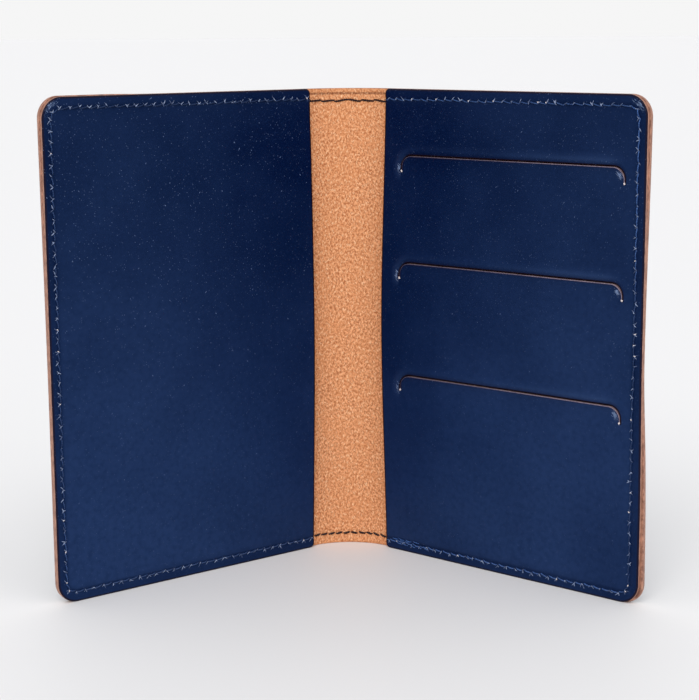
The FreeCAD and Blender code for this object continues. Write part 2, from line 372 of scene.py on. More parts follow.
def seam_holes(name):
    """The needle holes of one cover's seam, from the spine's middle over the top."""
    random = np.random.default_rng(11 + SIDES[name])
    high = HEIGHT - SEAM_INSET
    low = LOW_SEAM_INSET[name]
    corner_along = SEAM_SIDE - SEAM_CORNER_RADIUS
    corner_inset = 0.9
    before_mouth = ARC_LENGTH - 0.7
    past_mouth = ARC_LENGTH + 1.3
    single = math.inf          # one stitch, however long
    stops = [
        ((0, HEIGHT - SPINE_TOP_INSET), SPINE_PITCHES["top"]),
        ((before_mouth, HEIGHT - SPINE_TOP_INSET), single),
        ((past_mouth, high), STITCH_PITCH),
        ((corner_along, high), single),
        ((SEAM_SIDE - corner_inset, high - corner_inset), single),
        ((SEAM_SIDE, high - SEAM_CORNER_RADIUS), STITCH_PITCH),
        ((SEAM_SIDE, low + SEAM_CORNER_RADIUS), single),
        ((SEAM_SIDE - corner_inset, low + corner_inset), single),
        ((corner_along, low), STITCH_PITCH),
        ((past_mouth, low), single),
        ((before_mouth, SEAM_INSET), SPINE_PITCHES["bottom"]),
        ((0, SEAM_INSET), None),
    ]
    holes = []
    for (here, pitch), (there, _) in zip(stops, stops[1:]):
        count = max(1, round(math.dist(here, there) / pitch))
        for k in range(count):
            holes.append([a + (b - a) * (k / count) for a, b in zip(here, there)])
    holes = np.array(holes + [stops[-1][0]])
    shift = random.uniform(-HOLE_WANDER, HOLE_WANDER, holes.shape)
    shift[0] = shift[-1] = 0
    return holes + shift


HOLES = {name: seam_holes(name) for name in SIDES}


def hole_dents(plan, holes, depth, width):
    """How far the leather is drawn in round the needle holes."""
    dent = np.zeros(len(plan))
    close = np.where(seam_distance(plan) < 3 * width)[0]
    for hole in holes:
        distance = np.hypot(*(plan[close] - hole).T)
        dent[close] = np.maximum(dent[close], depth * bell(distance, width))
    return dent


def seam_dents(plan, holes):
    """The furrow that the seam's tension presses into the leather."""
    furrow_depth = 0.1
    furrow = furrow_depth * bell(seam_distance(plan), 0.55)
    return furrow + hole_dents(plan, holes, depth=0.28, width=0.34)


def tack_dent(plan):
    """The deeper furrow under the back tack, beside the spine."""
    depth = 0.3
    middle = LOW_SEAM_INSET["back"] + 0.25
    along = plan[:, 0] - ARC_LENGTH
    ends = smooth((along - TACK_SPAN[0]) / 2) * smooth((TACK_SPAN[1] - along) / 3)
    return depth * ends * bell(plan[:, 1] - middle, 0.75)


# Shapes of the faces

def pocket_rise(plan, name):
    """How far a pocket panel stands off its cover: most at its mouth, halfway up."""
    along = plan[:, 0] - ARC_LENGTH
    up = plan[:, 1]
    held_low = SEAM_INSET + 1
    share = np.clip((up - held_low) / (HEIGHT - 2 * held_low), 0, 1)
    to_seam = POCKET_WIDTH - SIDE_SEAM_INSET - along
    reach = np.clip(1 - along / (POCKET_WIDTH - SIDE_SEAM_INSET - 1.5), 0, 1)
    rise = MOUTH_LIFT[name] * np.sin(math.pi * share) ** 1.4 * reach ** 1.7
    wave_height = 0.07
    phase = {"front": 0.7, "back": 2.1}[name]
    slow_wave = np.sin(along / 13 + phase) * np.sin(up / 19 + 2 * phase)
    quick_wave = 0.6 * np.sin(along / 7.5 - up / 11 + phase)
    free = smooth(share * 8) * smooth((1 - share) * 8) * smooth(to_seam / 14)
    rise += wave_height * (slow_wave + quick_wave + 1.6) * free
    if name == "back":
        rise += slot_relief(plan)
    return rise


def slot_relief(plan):
    """The lips of the card slots: the lower one leans out and the upper one leans in."""
    relief = np.zeros(len(plan))
    lean = 0.42
    ridge = 0.3
    end_ridge = 0.12
    for path in SLOT_PATHS:
        distance, above, length = near_slot(plan, path)
        total = path[2][-1]
        from_ends = smooth(np.minimum(length, total - length) / 5.0)
        lower = lean * np.clip(1 - distance / 2.7, 0, 1) ** 2
        upper = ridge * bell(distance - 1.7, 0.8) - lean * np.clip(1 - distance / 1.2, 0, 1) ** 2
        relief += from_ends * (lower * (1 - above) / 2 + upper * (1 + above) / 2)
        relief += (1 - from_ends) * end_ridge * bell(distance - 0.8, 0.6)
    return relief


SAME_PLACE = 1e-7              # metres
SHARP_DEGREES = 55


def put(name, data):
    """A new object in the scene."""
    made = bpy.data.objects.new(name, data)
    bpy.context.scene.collection.objects.link(made)
    return made


def build(name, points, faces, tags, materials, side, extras=None):
    """A mesh object from flat points, with the flat places kept for its materials.

    tags say which material each face has, and extras are values at the points.
    """
    mesh = bpy.data.meshes.new(name)
    mesh.from_pydata([tuple(p) for p in place(points, side)], [], [tuple(f) for f in faces])
    flat = mesh.attributes.new("flat", "FLOAT_VECTOR", "POINT")
    kept = np.array(points, np.float32)
    kept[:, 0] += side * COVER_WIDTH
    flat.data.foreach_set("vector", kept.ravel())
    for key, values in (extras or {}).items():
        attribute = mesh.attributes.new(key, "FLOAT", "POINT")
        attribute.data.foreach_set("value", np.asarray(values, np.float32))
    for material in materials:
        mesh.materials.append(material)
    mesh.polygons.foreach_set("material_index", np.asarray(tags, np.int32))
    work = bmesh.new()
    work.from_mesh(mesh)
    bmesh.ops.remove_doubles(work, verts=work.verts, dist=SAME_PLACE)
    bmesh.ops.recalc_face_normals(work, faces=work.faces)
    work.to_mesh(mesh)
    work.free()
    mesh.shade_smooth()
    mesh.set_sharp_from_angle(angle=math.radians(SHARP_DEGREES))
    return put(name, mesh)


# Materials

def feed(tree, node, inputs):
    """Link each input of a node to a socket, or set it to a plain value."""
    for key, value in inputs.items():
        if isinstance(value, bpy.types.NodeSocket):
            tree.links.new(value, node.inputs[key])
        else:
            node.inputs[key].default_value = value


def add(tree, kind, inputs=None, **settings):
    """A node with its settings made and its inputs set or linked."""
    made = tree.nodes.new("ShaderNode" + kind)
    for key, value in settings.items():
        setattr(made, key, value)
    feed(tree, made, inputs or {})
    return made


def flat_place(tree, stretch=(1, 1, 1), turn=0):
    """The flat place, in millimetres, that a material's pattern follows.

    stretch is how close the pattern is along each axis after a turn, in degrees.
    """
    where = add(tree, "Attribute", attribute_name="flat").outputs["Vector"]
    turned = add(tree, "Mapping", {"Vector": where, "Rotation": (0, 0, math.radians(turn))})
    scaled = add(tree, "Mapping", {"Vector": turned.outputs["Vector"], "Scale": stretch})
    return scaled.outputs["Vector"]


def noise(where, scale, detail=3.0, roughness=0.5):
    made = add(where.id_data, "TexNoise", {
        "Vector": where, "Scale": scale, "Detail": detail, "Roughness": roughness})
    return made.outputs["Fac"]


def ramp(value, low, high, low_to=0.0, high_to=1.0):
    """value remapped smoothly from low..high."""
    made = add(value.id_data, "MapRange", {
        "Value": value, "From Min": low, "From Max": high, "To Min": low_to, "To Max": high_to,
    }, interpolation_type="SMOOTHSTEP")
    return made.outputs["Result"]


def calculate(operation, a, b):
    return add(a.id_data, "Math", {0: a, 1: b}, operation=operation).outputs["Value"]


plus = partial(calculate, "ADD")
minus = partial(calculate, "SUBTRACT")
times = partial(calculate, "MULTIPLY")
larger = partial(calculate, "MAXIMUM")


def coated(base, *coats):
    """A colour under coats, each a (share, colour) that hides what is below where share is 1."""
    share_in, below_in, over_in, colour_out = 0, 6, 7, 2     # sockets of the Mix node
    for share, over in coats:
        inputs = {share_in: share, below_in: base, over_in: over}
        base = add(share.id_data, "Mix", inputs, data_type="RGBA").outputs[colour_out]
    return base


def colour(red, green, blue):
    """A linear colour from 0..255 screen values."""
    def linear(value):
        value /= 255
        return value / 12.92 if value <= 0.04045 else ((value + 0.055) / 1.055) ** 2.4
    return (linear(red), linear(green), linear(blue), 1)


def attribute(tree, name):
    return add(tree, "Attribute", attribute_name=name).outputs["Fac"]


def bumps(height, strength, distance, under=None):
    inputs = {"Height": height, "Strength": strength, "Distance": distance * MM}
    if under is not None:
        inputs["Normal"] = under
    return add(height.id_data, "Bump", inputs).outputs["Normal"]


def dots(where, scale, size, share):
    """Scattered small dots: 1 inside a dot. share is the part of the cells with a dot."""
    tree = where.id_data
    cells = add(tree, "TexVoronoi", {"Vector": where, "Scale": scale})
    inside = ramp(cells.outputs["Distance"], size, size * 0.45)
    split = add(tree, "SeparateColor", {"Color": cells.outputs["Color"]})
    chosen = ramp(split.outputs["Red"], 1 - share, 1 - share + 0.02)
    strength = ramp(split.outputs["Green"], 0, 1, 0.25, 1.0)
    return times(times(inside, chosen), strength)


def new_material(name):
    material = bpy.data.materials.new(name)
    material.use_nodes = True
    return material, material.node_tree


def finish(material, base, roughness, **others):
    """Feed the material's shader; the other inputs have underscores for their spaces."""
    tree = material.node_tree
    inputs = {"Base Color": base, "Roughness": roughness}
    inputs.update({key.replace("_", " "): value for key, value in others.items()})
    feed(tree, tree.nodes["Principled BSDF"], inputs)
    return material


def grain_leather():
    """Smooth, satin, navy leather with pores, dust, scuffs and a darker edge, and with painted light:
    a painted reflection low down, painted shade at the seams, a painted highlight over the card slots
    and a painted shadow along their upper lips.
    """
    material, tree = new_material("navy_grain_leather")
    deep_navy = colour(0, 12, 48)
    paler_navy = colour(29, 48, 88)
    mottle_navy = colour(2, 18, 52)
    speckle_blue = colour(25, 46, 90)
    highlight_blue = colour(46, 66, 106)
    rim_purple = colour(22, 13, 32)
    mouth_brown = colour(24, 4, 10)
    raw_lip = colour(144, 128, 140)
    dust_blue = colour(118, 138, 180)
    scuff_blue = colour(126, 146, 184)
    where = flat_place(tree)

    # The paler navy is painted light on the pockets: a painted reflection low down and painted shade
    # at the seams. The cloud adds random tone.
    cloud = ramp(noise(where, 0.045, 4), 0.3, 0.7, -0.1, 0.1)
    paleness = add(tree, "Clamp", {"Value": plus(attribute(tree, "haze"), cloud)})
    mottle = ramp(noise(where, 0.6, 4, 0.6), 0.35, 0.75, 0, 0.35)
    speckle = ramp(noise(where, 2.4, 3, 0.8), 0.5, 0.72, 0, 0.45)
    rim = ramp(attribute(tree, "inset"), 0.75, 0.3)
    frayed = ramp(noise(where, 1.6, 3, 0.7), 0.35, 0.6, 0.45, 0.95)
    frayed_lip = times(attribute(tree, "lip"), frayed)
    # A painted highlight over the card slots' ridges.
    halo = attribute(tree, "halo")
    # The dark rim at the pockets' mouths, and painted shadow along the card slots' upper lips.
    mouth = attribute(tree, "mouth")

    gathered = ramp(noise(where, 0.07, 3), 0.35, 0.65, 0.25, 1.0)
    dust = times(dots(where, 0.36, 0.065, 0.45), gathered)
    fine_dust = times(dots(where, 1.3, 0.2, 0.6), 0.5)
    hairs = dots(flat_place(tree, (1, 0.3, 1), 35), 0.9, 0.1, 0.2)
    crossing = dots(flat_place(tree, (1, 0.3, 1), -40), 0.9, 0.1, 0.16)
    marks = larger(larger(dust, fine_dust), larger(hairs, crossing))
    marks = times(marks, attribute(tree, "dust"))

    crackle = noise(flat_place(tree, (0.45, 2.4, 1), 45), 2.0, 4, 0.7)
    crackle = times(minus(crackle, 0.5), 2.4)
    scuffs = ramp(plus(attribute(tree, "scuff"), crackle), 0.44, 0.66)
    base = coated(
        deep_navy, (paleness.outputs["Result"], paler_navy), (mottle, mottle_navy),
        (speckle, speckle_blue), (halo, highlight_blue), (rim, rim_purple),
        (mouth, mouth_brown), (frayed_lip, raw_lip),
        (times(marks, 0.75), dust_blue), (times(scuffs, 0.8), scuff_blue))

    satin = ramp(noise(where, 0.25, 3), 0.3, 0.7, 0.34, 0.42)
    roughness = plus(satin, times(marks, 0.3))
    pores = add(tree, "TexVoronoi", {"Vector": where, "Scale": 2.6}).outputs["Distance"]
    fine = bumps(pores, 0.12, 0.05)
    soft = bumps(noise(where, 0.5, 3), 0.25, 0.12, fine)
    rough = bumps(scuffs, 0.5, 0.1, soft)
    sheen = (0.42, 0.76, 1.0, 1)
    return finish(
        material, base, roughness, Specular_IOR_Level=0.11, Specular_Tint=sheen, Normal=rough)


def flesh_leather():
    """The suede-like, fibrous tan side of the leather, with a border pressed along its edge."""
    material, tree = new_material("tan_flesh_side")
    dark_tan = colour(172, 102, 61)
    light_tan = colour(238, 170, 122)
    cloud_tan = colour(213, 140, 91)
    pale_fibre = colour(252, 208, 166)
    fleck_brown = colour(150, 84, 46)
    border_tan = colour(178, 114, 72)
    crease_brown = colour(84, 40, 22)
    where = flat_place(tree)
    fibre = noise(flat_place(tree, (1.3, 0.9, 1), 20), 1.3, 4, 0.68)
    curls = noise(flat_place(tree, (2, 0.9, 1), -25), 1.05, 3, 0.6)
    cloud = ramp(noise(where, 0.12, 3), 0.35, 0.7, 0, 0.35)
    flecks = dots(where, 0.9, 0.2, 0.18)
    lumps = ramp(noise(where, 1.7, 2), 0.38, 0.52, 0.55, 1.0)
    crease = times(attribute(tree, "crease"), lumps)
    border = times(attribute(tree, "border"), 0.35)
    base = coated(
        dark_tan, (ramp(fibre, 0.36, 0.64), light_tan), (cloud, cloud_tan),
        (ramp(curls, 0.53, 0.68, 0, 0.75), pale_fibre),
        (times(flecks, 0.6), fleck_brown), (border, border_tan), (crease, crease_brown))
    nap = bumps(curls, 0.4, 0.2, bumps(fibre, 0.7, 0.3))
    return finish(material, base, 0.92, Specular_IOR_Level=0.2, Normal=nap)


def cut_edge(name, light, dark, roughness):
    """A burnished cut edge: layered fibres that run along it."""
    material, tree = new_material(name)
    layers = noise(flat_place(tree, (0.3, 0.3, 3.5)), 1.4, 4, 0.6)
    blotch = noise(flat_place(tree), 0.35, 3)
    streaks = ramp(layers, 0.35, 0.65)
    base = coated(dark, (streaks, light), (ramp(blotch, 0.4, 0.7, 0, 0.4), dark))
    return finish(material, base, roughness, Normal=bumps(layers, 0.3, 0.1))


def thread_material():
    """Navy waxed sewing thread with painted light: painted shade makes it brown-black, a weak painted
    highlight makes it navy and a strong one makes it blue.
    """
    material, tree = new_material("navy_thread")
    half_lit_navy = colour(12, 24, 52)
    fibres = noise(flat_place(tree), 6.0, 2)
    shaded_streaks = (ramp(fibres, 0.35, 0.65), colour(46, 26, 28))
    lit_streaks = (ramp(fibres, 0.4, 0.6), colour(74, 108, 166))
    # The brown-black is painted shade on the navy thread, and the blue is its painted highlight.
    shaded_thread = coated(colour(28, 12, 14), shaded_streaks)
    worn = coated(colour(22, 50, 102), lit_streaks)
    thread_highlight = attribute(tree, "thread_highlight")
    base = coated(shaded_thread, (ramp(thread_highlight, 0.0, 0.3), half_lit_navy), (ramp(thread_highlight, 0.3, 1.0), worn))
    relief = bumps(fibres, 0.4, 0.05)
    return finish(material, base, 0.42, Specular_IOR_Level=0.18, Normal=relief)


def torn_finish():
    """The pale broken finish at the lips of the needle holes."""
    material, tree = new_material("torn_finish")
    patches = ramp(noise(flat_place(tree), 0.8, 2), 0.42, 0.58)
    base = coated(colour(64, 80, 116), (patches, colour(130, 144, 176)))
    return finish(material, base, 0.6)


def fibre_tuft():
    """Pale leather fibres drawn out of a hole or a cut."""
    material, tree = new_material("pale_fibres")
    patches = noise(flat_place(tree), 2.0, 2)
    base = coated(colour(206, 188, 184), (patches, colour(234, 228, 230)))
    return finish(material, base, 0.85)


GRAIN = grain_leather()
FLESH = flesh_leather()
TAN_EDGE = cut_edge("burnished_tan_edge", colour(188, 138, 116), colour(118, 80, 66), 0.5)
SLOT_EDGE = cut_edge("raw_slot_edge", colour(150, 126, 126), colour(88, 68, 74), 0.7)
DARK_EDGE = cut_edge("dark_mouth_edge", colour(40, 14, 20), colour(20, 5, 10), 0.45)
THREAD = thread_material()
TORN = torn_finish()
FIBRES = fibre_tuft()


# The sheets' materials, in the order of their face tags
SHEET_MATERIALS = [GRAIN, FLESH, TAN_EDGE, DARK_EDGE, SLOT_EDGE]
ON_GRAIN, ON_FLESH, ON_EDGE, ON_MOUTH, ON_SLOT = range(len(SHEET_MATERIALS))
SHEET_VALUES = ("inset", "scuff", "haze", "dust", "halo", "mouth", "lip", "border", "crease")


def sheet_values(plan, **given):
    """What the sheets' materials read at the points of both faces: 0 unless given."""
    size = len(plan)
    return {key: np.tile(np.broadcast_to(given.get(key, 0), size), 2) for key in SHEET_VALUES}


def solid_sheet(plan, faces, insets, rims, upper, lower, edge_tags, burnished):
    """Two faces and the walls between them: points, faces and tags.

    At each point, upper and lower are the faces' heights, edge_tags is the tag of an
    edge, and burnished is how far in the lower face counts as an edge.
    """
    count = len(plan)
    points = np.concatenate([np.column_stack([plan, upper]), np.column_stack([plan, lower])])
    made = [tuple(f) for f in faces] + [tuple(i + count for i in reversed(f)) for f in faces]
    least = [min(insets[i] for i in f) for f in faces]
    tags = [edge_tags[f[0]] if inset < AT_RIM else ON_GRAIN for f, inset in zip(faces, least)]
    for face, inset in zip(faces, least):
        tags.append(edge_tags[face[-1]] if inset < burnished[face[-1]] else ON_FLESH)
    for rim in rims:
        for a, b in zip(rim, rim[1:] + rim[:1]):
            made.append((b, a, a + count, b + count))
            tags.append(edge_tags[b])
    return points, made, tags


# Outer leather

def cover_plan():
    """The flat plan of half of the outer leather, with most points on the spine."""
    past_arc = 4
    beside_middle = [0.1, 0.4]
    arc_columns = np.arange(ARC_SPACING, ARC_LENGTH + past_arc, ARC_SPACING)
    flat_columns = np.arange(arc_columns[-1] + 2, COVER_WIDTH, COVER_SPACING)
    columns = np.concatenate([beside_middle, arc_columns, flat_columns])
    return sheet_plan(0.0, COVER_WIDTH, None, [], columns)


def outer_leather(name):
    """Half of the outer leather, from the spine's middle to one cover's outer edge."""
    plan, faces, insets, rim, _ = cover_plan()
    along, to_bottom = plan.T
    to_top = HEIGHT - to_bottom
    on_spine = 1 - smooth(along - ARC_LENGTH - 1)
    grain = LEATHER - rounding(insets, GRAIN_EDGE_RADIUS) - seam_dents(plan, HOLES[name])
    border_width = 1.5
    border_blur = 0.15
    bevel_depth = 0.22
    crease_depth = 0.05
    top_border = smooth((border_width - to_top) / border_blur) * on_spine
    low_border = smooth((border_width / 2 - to_bottom) / border_blur) * on_spine
    bevel = bevel_depth * np.clip(1 - to_top / border_width, 0, 1) * on_spine
    crease = bell(to_top - border_width - 0.1, 0.27) * on_spine
    flesh = rounding(insets, GLUED_EDGE_RADIUS) + bevel + crease_depth * crease
    flesh += on_spine * hole_dents(plan, HOLES[name], depth=0.2, width=0.3)
    edge_tags = np.full(len(plan), ON_EDGE)
    burnished = np.where(along > ARC_LENGTH + 0.5, 1.1, GLUED_EDGE_RADIUS)
    points, made, tags = solid_sheet(
        plan, faces, insets, [rim], grain, flesh, edge_tags, burnished)
    points = warp_edge(points, name)
    values = sheet_values(
        plan, inset=insets, haze=0.45, dust=0.6, border=top_border + low_border, crease=crease)
    materials = SHEET_MATERIALS[:ON_EDGE + 1]
    return build(f"outer_leather_{name}", points, made, tags, materials, SIDES[name], values)


def outer_reach(points):
    """0 over the inner 60% of a cover, rising to 1 at its outer edge."""
    still = 0.6
    return smooth((points[:, 0] / COVER_WIDTH - still) / (1 - still))


def low_flare(points):
    """How far the back cover's outer edge runs out towards its bottom corner."""
    share = points[:, 1] / HEIGHT
    return 0.55 * outer_reach(points) * smooth((0.5 - share) / 0.35)


def warp_edge(points, name):
    """The outer edge as it was cut by hand: not quite straight, and flared in places."""
    share = points[:, 1] / HEIGHT
    reach = outer_reach(points)
    wave = np.cos(2 * math.pi * share)
    moved = points.copy()
    if name == "front":
        moved[:, 0] += reach * (0.1 * wave + 0.22 * (2 * share - 1))
        moved[:, 1] += 0.25 * smooth(reach * 2) * smooth(2 * share - 1)
    else:
        moved[:, 0] += reach * (0.38 * wave + 0.5 * smooth((0.48 - share) / 0.2))
        moved[:, 0] += low_flare(points)
    return moved


# Pockets

def corner_scuff(plan, name):
    """Where the finish is worn pale at the outer top corner."""
    past_centre = plan - (COVER_WIDTH - CORNER_RADIUS, HEIGHT - CORNER_RADIUS)
    away = np.hypot(*past_centre.T)
    across = past_centre[:, 0] - past_centre[:, 1]
    amount = {"front": 0.6, "back": 0.54}[name]
    worn = amount * np.exp(-((away - 5.1) / 0.85) ** 4) * bell(across, 3.8)
    worn[past_centre.min(1) < -1] = 0
    return worn


def slot_finish(plan):
    """The finish round the card slots.

    It is pale at their ends, paler over them as a painted highlight where their ridges catch the
    light, darkened on their upper lips as a painted shadow of the slit, darkened in a faint line just
    below their lower lips, and raw and pale on their lower lips.
    """
    worn, highlight_band, dark, raw = np.zeros((4, len(plan)))
    for path in SLOT_PATHS:
        distance, above, length = near_slot(plan, path)
        to_end = path[2][-1] - length
        share = length / path[2][-1]
        over = smooth(above * 2)
        left = bell(length - 0.9, 1.3) * bell(distance - 1.1, 0.75) * over
        right = bell(to_end - 3.1, 2.4) * bell(distance - 1.15, 0.85) * smooth(-above * 2)
        worn = np.maximum(worn, 0.68 * np.maximum(left, right))
        # Painted highlight: a paler band over each slot, where its ridge catches the light.
        amount = 0.06 + 0.26 * smooth((share - 0.35) / 0.5) + 0.2 * smooth((0.1 - share) / 0.08)
        band = bell(distance - 1.7, 1.0) * smooth((0.96 - share) * 16)
        highlight_band = np.maximum(highlight_band, band * over * amount)
        upper_lip = smooth(above * 3)
        lower_lip = smooth(-above * 3)
        # Painted shadow of the slit along the upper lip, and a faint dark line below the lower lip.
        dark = np.maximum(dark, smooth((0.66 - distance) / 0.24) * upper_lip)
        dark = np.maximum(dark, 0.45 * bell(distance - 0.36, 0.1) * lower_lip)
        cut = smooth((0.25 - distance) / 0.13) * lower_lip
        raw = np.maximum(raw, cut * (0.4 + 0.6 * smooth((share - 0.3) / 0.5)))
    return worn, highlight_band, dark, raw


def haze(plan, name):
    """Painted light on the finish: a painted reflection, paler low down and outward, and painted
    shade, darker at the seam and past it.
    """
    along, up = plan.T
    from_mouth = along - ARC_LENGTH
    outward = smooth(from_mouth / 75)
    lower = smooth((0.95 - up / HEIGHT) / 0.9)
    beside_seam = bell(seam_distance(plan), 0.8)
    past_side = smooth((along - SEAM_SIDE + 0.5) / 1.2)
    past_bottom = smooth((SEAM_INSET + 0.5 - up) / 1.2)
    darker = np.maximum(0.7 * beside_seam, 0.55 * np.maximum(past_side, past_bottom))
    pale = (0.3 * outward + 0.7 * lower) * (1 - darker)
    # On the back cover: more painted shade near the mouth, and less painted reflection near the outer
    # foot.
    if name == "back":
        near_mouth = (1 - smooth(from_mouth / 30)) * smooth((up - 10) / 35)
        near_foot = smooth((along - COVER_WIDTH + 40) / 30) * smooth((60 - up) / 45)
        pale *= (1 - 0.4 * near_mouth) * (1 - 0.32 * near_foot)
    return pale


def dustiness(plan, name):
    """How much dust lies on the finish: more on the front cover and higher up."""
    high = smooth(plan[:, 1] / HEIGHT)
    return {"front": 1.3, "back": 0.75}[name] * (0.3 + 0.7 * high)


def pocket(name):
    """A pocket panel, with its slots if it is the card pocket."""
    slots = SLOT_PATHS if name == "back" else []
    columns = np.arange(ARC_LENGTH + DEEPEST + 1, COVER_WIDTH, GRID_SPACING)
    plan, faces, insets, rim, hole_rims = sheet_plan(
        ARC_LENGTH, COVER_WIDTH, MOUTH_CORNER_RADIUS, slots, columns)
    rise = pocket_rise(plan, name)
    to_slot = np.full(len(plan), math.inf)
    for path in slots:
        to_slot = np.minimum(to_slot, near_slot(plan, path)[0] - SLOT_RINGS[0])
    front_drop = rounding(insets, GRAIN_EDGE_RADIUS)
    front_drop += rounding(np.maximum(to_slot, 0), SLOT_EDGE_RADIUS)
    front = -(LEATHER + rise) + front_drop + seam_dents(plan, HOLES[name])
    if name == "back":
        front += tack_dent(plan)
    glue = 0.01
    back = -rise - rounding(insets, GLUED_EDGE_RADIUS) - glue
    edge_tags = np.where(plan[:, 0] < ARC_LENGTH + 3, ON_MOUTH, ON_EDGE)
    edge_tags[to_slot < 0.02] = ON_SLOT
    points, made, tags = solid_sheet(
        plan, faces, insets, [rim] + hole_rims, front, back, edge_tags, np.zeros(len(plan)))
    if name == "back":
        points[:, 0] += low_flare(points)
    scuff = corner_scuff(plan, name)
    mouth = 1 - smooth((plan[:, 0] - ARC_LENGTH - 0.4) / 0.3)
    lip, halo = 0, 0
    if name == "back":
        worn, halo, dark, lip = slot_finish(plan)
        scuff = np.maximum(scuff, worn)
        # The slots' painted shadow joins the dark rim at the mouth.
        mouth = np.maximum(mouth, dark)
    values = sheet_values(
        plan, inset=insets, scuff=scuff, haze=haze(plan, name), dust=dustiness(plan, name),
        halo=halo, mouth=mouth, lip=lip)
    label = {"front": "passport_pocket_panel", "back": "card_pocket_panel"}[name]
    return build(label, points, made, tags, SHEET_MATERIALS, SIDES[name], values)


# Threads

TOWARD = {"needle": -1, "bobbin": 1}       # the inside and the outside of the holder
TUBE_SIDES = 5


def square_to(line, aside):
    """Two directions square to a line at each point, the first of them square to aside."""
    heading = headings(line)
    across = np.cross(heading, aside)
    across /= np.linalg.norm(across, axis=1)[:, None]
    return across, np.cross(across, heading)


def tube(line, radius, tag=0):
    """A closed tube along a line of flat points: its points, its faces and their tag."""
    across, over = square_to(line, (0.13, 0.21, 1.0))
    radii = np.broadcast_to(radius, len(line))[:, None, None]
    angles = (np.arange(TUBE_SIDES) * 2 * math.pi / TUBE_SIDES)[None, :, None]
    ring = np.cos(angles) * across[:, None] + np.sin(angles) * over[:, None]
    points = (line[:, None] + ring * radii).reshape(-1, 3)
    faces = bands(0, TUBE_SIDES, len(line))
    faces.append(tuple(range(TUBE_SIDES))[::-1])
    faces.append(tuple(range(len(points) - TUBE_SIDES, len(points))))
    return points, faces, tag


def gather(tubes):
    """Several (points, faces, tag) as one set."""
    points = []
    faces = []
    tags = []
    total = 0
    for some_points, some_faces, tag in tubes:
        points.append(some_points)
        faces += [tuple(i + total for i in face) for face in some_faces]
        tags += [tag] * len(some_faces)
        total += len(some_points)
    return np.concatenate(points), faces, tags


def twisted(line, radius, phase):
    """Two plies twisted round a line."""
    twist_pitch = 1.3
    ply_offset = 0.48 * radius
    ply_radius = 0.6 * radius
    across, over = square_to(line, (0, 0, 1.0))
    made = []
    for half_turn in (0, math.pi):
        angle = 2 * math.pi * lengths_along(line) / twist_pitch + phase + half_turn
        shift = np.cos(angle)[:, None] * across + np.sin(angle)[:, None] * over
        made.append(tube(line + shift * ply_offset, ply_radius))
    return made


def stitch_line(first, last, heights, slant, toward, dip):
    """The middle line of a stitch between two needle holes.

    heights are the leather's at the holes, toward is the side on which the thread
    stands proud, and dip is how deep it goes at its ends.
    """
    stands = 0.14
    share = np.linspace(0, 1, 13)
    heading = (last - first) / np.linalg.norm(last - first)
    across = np.array([-heading[1], heading[0]])
    ground = heights[0] + (heights[1] - heights[0]) * smooth((share - 0.25) / 0.3)
    proud = (dip + stands) * np.sin(math.pi * share) ** 0.6 - dip
    sway = slant * np.cos(math.pi * share)
    flat = first + (last - first) * share[:, None] + sway[:, None] * across
    return np.column_stack([flat, ground + toward * proud])


def ground_at(plan, name, kind):
    """The height, at flat points, of the surface that the needle or bobbin thread lies on."""
    if kind == "bobbin":
        return np.full(len(plan), LEATHER)
    on_pocket = plan[:, 0] > ARC_LENGTH
    return np.where(on_pocket, -LEATHER - pocket_rise(plan, name), 0.0)


def seam_thread(name, kind):
    """One thread of the seam on one cover: the needle thread inside or the bobbin outside."""
    side = SIDES[name]
    random = np.random.default_rng(31 + side + (7 if kind == "needle" else 0))
    holes = HOLES[name]
    ground = ground_at(holes, name, kind)
    thicker = 1.75             # over the spine
    tubes = []
    for k in range(len(holes) - 1):
        along = holes[k:k + 2, 0]
        at_side = min(along) > SEAM_SIDE - 0.6
        on_spine = max(along) < ARC_LENGTH + 0.5
        at_bottom = holes[k][1] < 2 * SEAM_INSET
        slants = (0.05, 0.14) if at_side and name == "back" else (0.14, 0.3)
        if on_spine:
            dip = 0.75 if at_bottom else 0.25
        else:
            dip = 0.8 if at_bottom or (name == "front" and at_side) else 0.5
        slant = random.uniform(*slants)
        line = stitch_line(holes[k], holes[k + 1], ground[k:k + 2], slant, TOWARD[kind], dip)
        radius = THREAD_RADIUS * (thicker if on_spine else 1)
        tubes += twisted(line, radius, random.uniform(0, 6))
    points, faces, tags = gather(tubes)
    values = {"thread_highlight": highlight_strength(points, name)}
    return build(f"{kind}_thread_{name}", points, faces, tags, [THREAD], side, values)


def highlight_strength(points, name):
    """How strong the painted highlight on the thread is: most on the back cover's side and bottom."""
    along, up, _ = points.T
    on_cover = smooth(along - ARC_LENGTH)
    at_side = smooth((along - SEAM_SIDE + 2.5) / 1.5)
    low = smooth((HEIGHT / 4 - up) / 20)
    if name == "front":
        return on_cover * (0.5 + 0.1 * at_side + 0.1 * low)
    high_side = at_side * smooth((up - 75) / 45)
    low_run = (1 - at_side) * low
    on_top = smooth((up - HEIGHT + 2 * SEAM_INSET) / 2)
    return on_cover * (0.54 + 0.14 * on_top + 0.38 * high_side + 0.36 * low_run)


def outward_at(hole):
    """The direction, as an angle, from a needle hole square off the seam to the edge."""
    upward = math.copysign(1, hole[1] - HEIGHT / 2)
    if hole[0] <= SEAM_SIDE - 1.5:
        return upward * math.pi / 2
    if SEAM_INSET + 2 < hole[1] < HEIGHT - SEAM_INSET - 2:
        return 0.0
    return upward * math.pi / 4


def stroke(start, turn, length, bend, height, width, tag):
    """A ridge of torn finish on the grain, as a tapering half-sunk tube."""
    taper = np.array([0.7, 1.0, 1.0, 0.85, 0.6, 0.25])
    share = np.linspace(0, 1, len(taper))
    heading = np.array([math.cos(turn), math.sin(turn)])
    across = np.array([-heading[1], heading[0]])
    path = start + length * share[:, None] * heading + bend * np.sin(math.pi * share)[:, None] * across
    return tube(np.column_stack([path, np.full(len(share), height)]), width * taper, tag)


